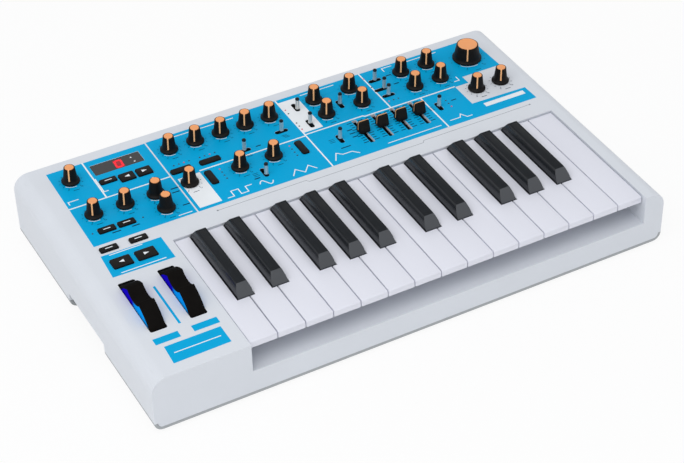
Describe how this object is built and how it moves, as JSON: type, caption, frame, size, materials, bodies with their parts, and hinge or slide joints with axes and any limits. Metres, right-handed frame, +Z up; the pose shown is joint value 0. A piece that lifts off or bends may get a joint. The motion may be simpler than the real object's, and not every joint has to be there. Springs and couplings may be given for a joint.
{
  "type": "analog synthesizer",
  "caption": "Table-top analog synthesizer: a low wedge case with a short piano keyboard, two wheels, and a panel of knobs, slide switches, faders and buttons.",
  "frame": {"origin": "on the surface it stands on, under the middle of the case", "axes": "+X to the player's right along the keys, -Y towards the player, +Z up"},
  "size_m": [0.457, 0.273, 0.0756],
  "materials": {
    "case_white": "satin moulded",
    "base_grey": "matt moulded",
    "key_white": "polished moulded",
    "key_black": "fine matt",
    "chassis": "painted steel sheet",
    "board": "lacquered circuit board",
    "rubber": "matt rubber",
    "knob_black": "soft-touch matt"
  },
  "bodies": {
    "case": {"top_case": "case_white", "bottom_case": "base_grey", "key_chassis": "chassis", "control_board": "board"},
    "white_key_01": {"white_key_01": "key_white"},
    "white_key_02": {"white_key_02": "key_white"},
    "white_key_03": {"white_key_03": "key_white"},
    "white_key_04": {"white_key_04": "key_white"},
    "white_key_05": {"white_key_05": "key_white"},
    "white_key_06": {"white_key_06": "key_white"},
    "white_key_07": {"white_key_07": "key_white"},
    "white_key_08": {"white_key_08": "key_white"},
    "white_key_09": {"white_key_09": "key_white"},
    "white_key_10": {"white_key_10": "key_white"},
    "white_key_11": {"white_key_11": "key_white"},
    "white_key_12": {"white_key_12": "key_white"},
    "white_key_13": {"white_key_13": "key_white"},
    "white_key_14": {"white_key_14": "key_white"},
    "white_key_15": {"white_key_15": "key_white"},
    "black_key_01": {"black_key_01": "key_black"},
    "black_key_02": {"black_key_02": "key_black"},
    "black_key_03": {"black_key_03": "key_black"},
    "black_key_04": {"black_key_04": "key_black"},
    "black_key_05": {"black_key_05": "key_black"},
    "black_key_06": {"black_key_06": "key_black"},
    "black_key_07": {"black_key_07": "key_black"},
    "black_key_08": {"black_key_08": "key_black"},
    "black_key_09": {"black_key_09": "key_black"},
    "black_key_10": {"black_key_10": "key_black"},
    "button_mat": {"button_mat": "rubber"},
    "volume_knob": {"volume_knob": "knob_black"},
    "osc_range_knob": {"osc_range_knob": "knob_black"},
    "osc_coarse_knob": {"osc_coarse_knob": "knob_black"},
    "osc_fine_knob": {"osc_fine_knob": "knob_black"},
    "osc_width_knob": {"osc_width_knob": "knob_black"},
    "osc_depth_knob": {"osc_depth_knob": "knob_black"},
    "mix_osc_1_knob": {"mix_osc_1_knob": "knob_black"},
    "mix_osc_2_knob": {"mix_osc_2_knob": "knob_black"},
    "mix_sub_knob": {"mix_sub_knob": "knob_black"},
    "mix_noise_knob": {"mix_noise_knob": "knob_black"},
    "filter_drive_knob": {"filter_drive_knob": "knob_black"},
    "filter_resonance_knob": {"filter_resonance_knob": "knob_black"},
    "filter_env_knob": {"filter_env_knob": "knob_black"},
    "filter_lfo_knob": {"filter_lfo_knob": "knob_black"},
    "effect_distortion_knob": {"effect_distortion_knob": "knob_black"},
    "effect_mix_knob": {"effect_mix_knob": "knob_black"},
    "lfo_speed_knob": {"lfo_speed_knob": "knob_black"},
    "lfo_delay_knob": {"lfo_delay_knob": "knob_black"},
    "glide_knob": {"glide_knob": "knob_black"},
    "arp_rate_knob": {"arp_rate_knob": "knob_black"},
    "arp_rhythm_knob": {"arp_rhythm_knob": "knob_black"},
    "arp_pattern_knob": {"arp_pattern_knob": "knob_black"},
    "arp_octave_knob": {"arp_octave_knob": "knob_black"},
    "filter_cutoff_knob": {"filter_cutoff_knob": "knob_black"},
    "attack_fader": {"attack_fader": "knob_black"},
    "decay_fader": {"decay_fader": "knob_black"},
    "sustain_fader": {"sustain_fader": "knob_black"},
    "release_fader": {"release_fader": "knob_black"},
    "pitch_wheel": {"pitch_wheel": "rubber"},
    "mod_wheel": {"mod_wheel": "rubber"}
  },
  "joints": [
    {"name": "white_key_01_joint", "type": "hinge", "parent": "case", "child": "white_key_01", "pos_m": [-0.13465, 0.01824, 0.04736], "axis": [1, 0, 0], "range_deg": [0, 3.8], "stiffness_Nm_per_rad": 0.6, "springref_deg": -8.59},
    {"name": "white_key_02_joint", "type": "hinge", "parent": "case", "child": "white_key_02", "pos_m": [-0.11095, 0.01824, 0.04736], "axis": [1, 0, 0], "range_deg": [0, 3.8], "stiffness_Nm_per_rad": 0.6, "springref_deg": -8.59},
    {"name": "white_key_03_joint", "type": "hinge", "parent": "case", "child": "white_key_03", "pos_m": [-0.08725, 0.01824, 0.04736], "axis": [1, 0, 0], "range_deg": [0, 3.8], "stiffness_Nm_per_rad": 0.6, "springref_deg": -8.59},
    {"name": "white_key_04_joint", "type": "hinge", "parent": "case", "child": "white_key_04", "pos_m": [-0.06355, 0.01824, 0.04736], "axis": [1, 0, 0], "range_deg": [0, 3.8], "stiffness_Nm_per_rad": 0.6, "springref_deg": -8.59},
    {"name": "white_key_05_joint", "type": "hinge", "parent": "case", "child": "white_key_05", "pos_m": [-0.03985, 0.01824, 0.04736], "axis": [1, 0, 0], "range_deg": [0, 3.8], "stiffness_Nm_per_rad": 0.6, "springref_deg": -8.59},
    {"name": "white_key_06_joint", "type": "hinge", "parent": "case", "child": "white_key_06", "pos_m": [-0.01615, 0.01824, 0.04736], "axis": [1, 0, 0], "range_deg": [0, 3.8], "stiffness_Nm_per_rad": 0.6, "springref_deg": -8.59},
    {"name": "white_key_07_joint", "type": "hinge", "parent": "case", "child": "white_key_07", "pos_m": [0.00755, 0.01824, 0.04736], "axis": [1, 0, 0], "range_deg": [0, 3.8], "stiffness_Nm_per_rad": 0.6, "springref_deg": -8.59},
    {"name": "white_key_08_joint", "type": "hinge", "parent": "case", "child": "white_key_08", "pos_m": [0.03125, 0.01824, 0.04736], "axis": [1, 0, 0], "range_deg": [0, 3.8], "stiffness_Nm_per_rad": 0.6, "springref_deg": -8.59},
    {"name": "white_key_09_joint", "type": "hinge", "parent": "case", "child": "white_key_09", "pos_m": [0.05495, 0.01824, 0.04736], "axis": [1, 0, 0], "range_deg": [0, 3.8], "stiffness_Nm_per_rad": 0.6, "springref_deg": -8.59},
    {"name": "white_key_10_joint", "type": "hinge", "parent": "case", "child": "white_key_10", "pos_m": [0.07865, 0.01824, 0.04736], "axis": [1, 0, 0], "range_deg": [0, 3.8], "stiffness_Nm_per_rad": 0.6, "springref_deg": -8.59},
    {"name": "white_key_11_joint", "type": "hinge", "parent": "case", "child": "white_key_11", "pos_m": [0.10235, 0.01824, 0.04736], "axis": [1, 0, 0], "range_deg": [0, 3.8], "stiffness_Nm_per_rad": 0.6, "springref_deg": -8.59},
    {"name": "white_key_12_joint", "type": "hinge", "parent": "case", "child": "white_key_12", "pos_m": [0.12605, 0.01824, 0.04736], "axis": [1, 0, 0], "range_deg": [0, 3.8], "stiffness_Nm_per_rad": 0.6, "springref_deg": -8.59},
    {"name": "white_key_13_joint", "type": "hinge", "parent": "case", "child": "white_key_13", "pos_m": [0.14975, 0.01824, 0.04736], "axis": [1, 0, 0], "range_deg": [0, 3.8], "stiffness_Nm_per_rad": 0.6, "springref_deg": -8.59},
    {"name": "white_key_14_joint", "type": "hinge", "parent": "case", "child": "white_key_14", "pos_m": [0.17345, 0.01824, 0.04736], "axis": [1, 0, 0], "range_deg": [0, 3.8], "stiffness_Nm_per_rad": 0.6, "springref_deg": -8.59},
    {"name": "white_key_15_joint", "type": "hinge", "parent": "case", "child": "white_key_15", "pos_m": [0.19715, 0.01824, 0.04736], "axis": [1, 0, 0], "range_deg": [0, 3.8], "stiffness_Nm_per_rad": 0.6, "springref_deg": -8.59},
    {"name": "black_key_01_joint", "type": "hinge", "parent": "case", "child": "black_key_01", "pos_m": [-0.1257, 0.01824, 0.04736], "axis": [1, 0, 0], "range_deg": [0, 3.8], "stiffness_Nm_per_rad": 0.6, "springref_deg": -8.59},
    {"name": "black_key_02_joint", "type": "hinge", "parent": "case", "child": "black_key_02", "pos_m": [-0.0962, 0.01824, 0.04736], "axis": [1, 0, 0], "range_deg": [0, 3.8], "stiffness_Nm_per_rad": 0.6, "springref_deg": -8.59},
    {"name": "black_key_03_joint", "type": "hinge", "parent": "case", "child": "black_key_03", "pos_m": [-0.0548, 0.01824, 0.04736], "axis": [1, 0, 0], "range_deg": [0, 3.8], "stiffness_Nm_per_rad": 0.6, "springref_deg": -8.59},
    {"name": "black_key_04_joint", "type": "hinge", "parent": "case", "child": "black_key_04", "pos_m": [-0.028, 0.01824, 0.04736], "axis": [1, 0, 0], "range_deg": [0, 3.8], "stiffness_Nm_per_rad": 0.6, "springref_deg": -8.59},
    {"name": "black_key_05_joint", "type": "hinge", "parent": "case", "child": "black_key_05", "pos_m": [-0.0012, 0.01824, 0.04736], "axis": [1, 0, 0], "range_deg": [0, 3.8], "stiffness_Nm_per_rad": 0.6, "springref_deg": -8.59},
    {"name": "black_key_06_joint", "type": "hinge", "parent": "case", "child": "black_key_06", "pos_m": [0.0402, 0.01824, 0.04736], "axis": [1, 0, 0], "range_deg": [0, 3.8], "stiffness_Nm_per_rad": 0.6, "springref_deg": -8.59},
    {"name": "black_key_07_joint", "type": "hinge", "parent": "case", "child": "black_key_07", "pos_m": [0.0697, 0.01824, 0.04736], "axis": [1, 0, 0], "range_deg": [0, 3.8], "stiffness_Nm_per_rad": 0.6, "springref_deg": -8.59},
    {"name": "black_key_08_joint", "type": "hinge", "parent": "case", "child": "black_key_08", "pos_m": [0.1111, 0.01824, 0.04736], "axis": [1, 0, 0], "range_deg": [0, 3.8], "stiffness_Nm_per_rad": 0.6, "springref_deg": -8.59},
    {"name": "black_key_09_joint", "type": "hinge", "parent": "case", "child": "black_key_09", "pos_m": [0.1379, 0.01824, 0.04736], "axis": [1, 0, 0], "range_deg": [0, 3.8], "stiffness_Nm_per_rad": 0.6, "springref_deg": -8.59},
    {"name": "black_key_10_joint", "type": "hinge", "parent": "case", "child": "black_key_10", "pos_m": [0.1647, 0.01824, 0.04736], "axis": [1, 0, 0], "range_deg": [0, 3.8], "stiffness_Nm_per_rad": 0.6, "springref_deg": -8.59},
    {"name": "button_mat_joint", "type": "slide", "parent": "case", "child": "button_mat", "axis": [0, 0.0366, -0.9993], "range_m": [0, 0.0008], "stiffness_N_per_m": 1500, "springref_m": -0.0003},
    {"name": "volume_knob_joint", "type": "hinge", "parent": "case", "child": "volume_knob", "pos_m": [-0.1885, 0.10802, 0.06046], "axis": [0, 0.0366, -0.9993], "range_deg": [0, 300]},
    {"name": "osc_range_knob_joint", "type": "hinge", "parent": "case", "child": "osc_range_knob", "pos_m": [-0.1004, 0.10772, 0.06045], "axis": [0, 0.0366, -0.9993], "range_deg": [0, 300]},
    {"name": "osc_coarse_knob_joint", "type": "hinge", "parent": "case", "child": "osc_coarse_knob", "pos_m": [-0.0764, 0.10772, 0.06045], "axis": [0, 0.0366, -0.9993], "range_deg": [0, 300]},
    {"name": "osc_fine_knob_joint", "type": "hinge", "parent": "case", "child": "osc_fine_knob", "pos_m": [-0.0528, 0.10772, 0.06045], "axis": [0, 0.0366, -0.9993], "range_deg": [0, 300]},
    {"name": "osc_width_knob_joint", "type": "hinge", "parent": "case", "child": "osc_width_knob", "pos_m": [-0.0298, 0.10772, 0.06045], "axis": [0, 0.0366, -0.9993], "range_deg": [0, 300]},
    {"name": "osc_depth_knob_joint", "type": "hinge", "parent": "case", "child": "osc_depth_knob", "pos_m": [-0.0066, 0.10772, 0.06045], "axis": [0, 0.0366, -0.9993], "range_deg": [0, 300]},
    {"name": "mix_osc_1_knob_joint", "type": "hinge", "parent": "case", "child": "mix_osc_1_knob", "pos_m": [0.0383, 0.11112, 0.06057], "axis": [0, 0.0366, -0.9993], "range_deg": [0, 300]},
    {"name": "mix_osc_2_knob_joint", "type": "hinge", "parent": "case", "child": "mix_osc_2_knob", "pos_m": [0.0383, 0.08813, 0.05973], "axis": [0, 0.0366, -0.9993], "range_deg": [0, 300]},
    {"name": "mix_sub_knob_joint", "type": "hinge", "parent": "case", "child": "mix_sub_knob", "pos_m": [0.073, 0.11112, 0.06057], "axis": [0, 0.0366, -0.9993], "range_deg": [0, 300]},
    {"name": "mix_noise_knob_joint", "type": "hinge", "parent": "case", "child": "mix_noise_knob", "pos_m": [0.073, 0.08813, 0.05973], "axis": [0, 0.0366, -0.9993], "range_deg": [0, 300]},
    {"name": "filter_drive_knob_joint", "type": "hinge", "parent": "case", "child": "filter_drive_knob", "pos_m": [0.125, 0.11112, 0.06057], "axis": [0, 0.0366, -0.9993], "range_deg": [0, 300]},
    {"name": "filter_resonance_knob_joint", "type": "hinge", "parent": "case", "child": "filter_resonance_knob", "pos_m": [0.1508, 0.11112, 0.06057], "axis": [0, 0.0366, -0.9993], "range_deg": [0, 300]},
    {"name": "filter_env_knob_joint", "type": "hinge", "parent": "case", "child": "filter_env_knob", "pos_m": [0.125, 0.08673, 0.05968], "axis": [0, 0.0366, -0.9993], "range_deg": [0, 300]},
    {"name": "filter_lfo_knob_joint", "type": "hinge", "parent": "case", "child": "filter_lfo_knob", "pos_m": [0.1508, 0.08673, 0.05968], "axis": [0, 0.0366, -0.9993], "range_deg": [0, 300]},
    {"name": "effect_distortion_knob_joint", "type": "hinge", "parent": "case", "child": "effect_distortion_knob", "pos_m": [0.1705, 0.05815, 0.05863], "axis": [0, 0.0366, -0.9993], "range_deg": [0, 300]},
    {"name": "effect_mix_knob_joint", "type": "hinge", "parent": "case", "child": "effect_mix_knob", "pos_m": [0.1948, 0.05815, 0.05863], "axis": [0, 0.0366, -0.9993], "range_deg": [0, 300]},
    {"name": "lfo_speed_knob_joint", "type": "hinge", "parent": "case", "child": "lfo_speed_knob", "pos_m": [-0.0592, 0.05785, 0.05862], "axis": [0, 0.0366, -0.9993], "range_deg": [0, 300]},
    {"name": "lfo_delay_knob_joint", "type": "hinge", "parent": "case", "child": "lfo_delay_knob", "pos_m": [-0.0281, 0.05785, 0.05862], "axis": [0, 0.0366, -0.9993], "range_deg": [0, 300]},
    {"name": "glide_knob_joint", "type": "hinge", "parent": "case", "child": "glide_knob", "pos_m": [-0.1043, 0.05915, 0.05867], "axis": [0, 0.0366, -0.9993], "range_deg": [0, 300]},
    {"name": "arp_rate_knob_joint", "type": "hinge", "parent": "case", "child": "arp_rate_knob", "pos_m": [-0.1889, 0.05895, 0.05866], "axis": [0, 0.0366, -0.9993], "range_deg": [0, 300]},
    {"name": "arp_rhythm_knob_joint", "type": "hinge", "parent": "case", "child": "arp_rhythm_knob", "pos_m": [-0.1616, 0.05895, 0.05866], "axis": [0, 0.0366, -0.9993], "range_deg": [0, 300]},
    {"name": "arp_pattern_knob_joint", "type": "hinge", "parent": "case", "child": "arp_pattern_knob", "pos_m": [-0.1347, 0.05895, 0.05866], "axis": [0, 0.0366, -0.9993], "range_deg": [-150, 150]},
    {"name": "arp_octave_knob_joint", "type": "hinge", "parent": "case", "child": "arp_octave_knob", "pos_m": [-0.1347, 0.03866, 0.05792], "axis": [0, 0.0366, -0.9993], "range_deg": [-150, 150]},
    {"name": "filter_cutoff_knob_joint", "type": "hinge", "parent": "case", "child": "filter_cutoff_knob", "pos_m": [0.1877, 0.10202, 0.06024], "axis": [0, 0.0366, -0.9993], "range_deg": [0, 300]},
    {"name": "attack_fader_joint", "type": "slide", "parent": "case", "child": "attack_fader", "axis": [0, 0.9993, 0.0366], "range_m": [-0.0145, 0.0145]},
    {"name": "decay_fader_joint", "type": "slide", "parent": "case", "child": "decay_fader", "axis": [0, 0.9993, 0.0366], "range_m": [-0.0145, 0.0145]},
    {"name": "sustain_fader_joint", "type": "slide", "parent": "case", "child": "sustain_fader", "axis": [0, 0.9993, 0.0366], "range_m": [-0.0145, 0.0145]},
    {"name": "release_fader_joint", "type": "slide", "parent": "case", "child": "release_fader", "axis": [0, 0.9993, 0.0366], "range_m": [-0.0145, 0.0145]},
    {"name": "pitch_wheel_joint", "type": "hinge", "parent": "case", "child": "pitch_wheel", "pos_m": [-0.1993, -0.05708, 0.02999], "axis": [1, 0, 0], "range_deg": [-25, 25], "stiffness_Nm_per_rad": 0.12},
    {"name": "mod_wheel_joint", "type": "hinge", "parent": "case", "child": "mod_wheel", "pos_m": [-0.1663, -0.05708, 0.02999], "axis": [1, 0, 0], "range_deg": [-25, 25]}
  ]
}
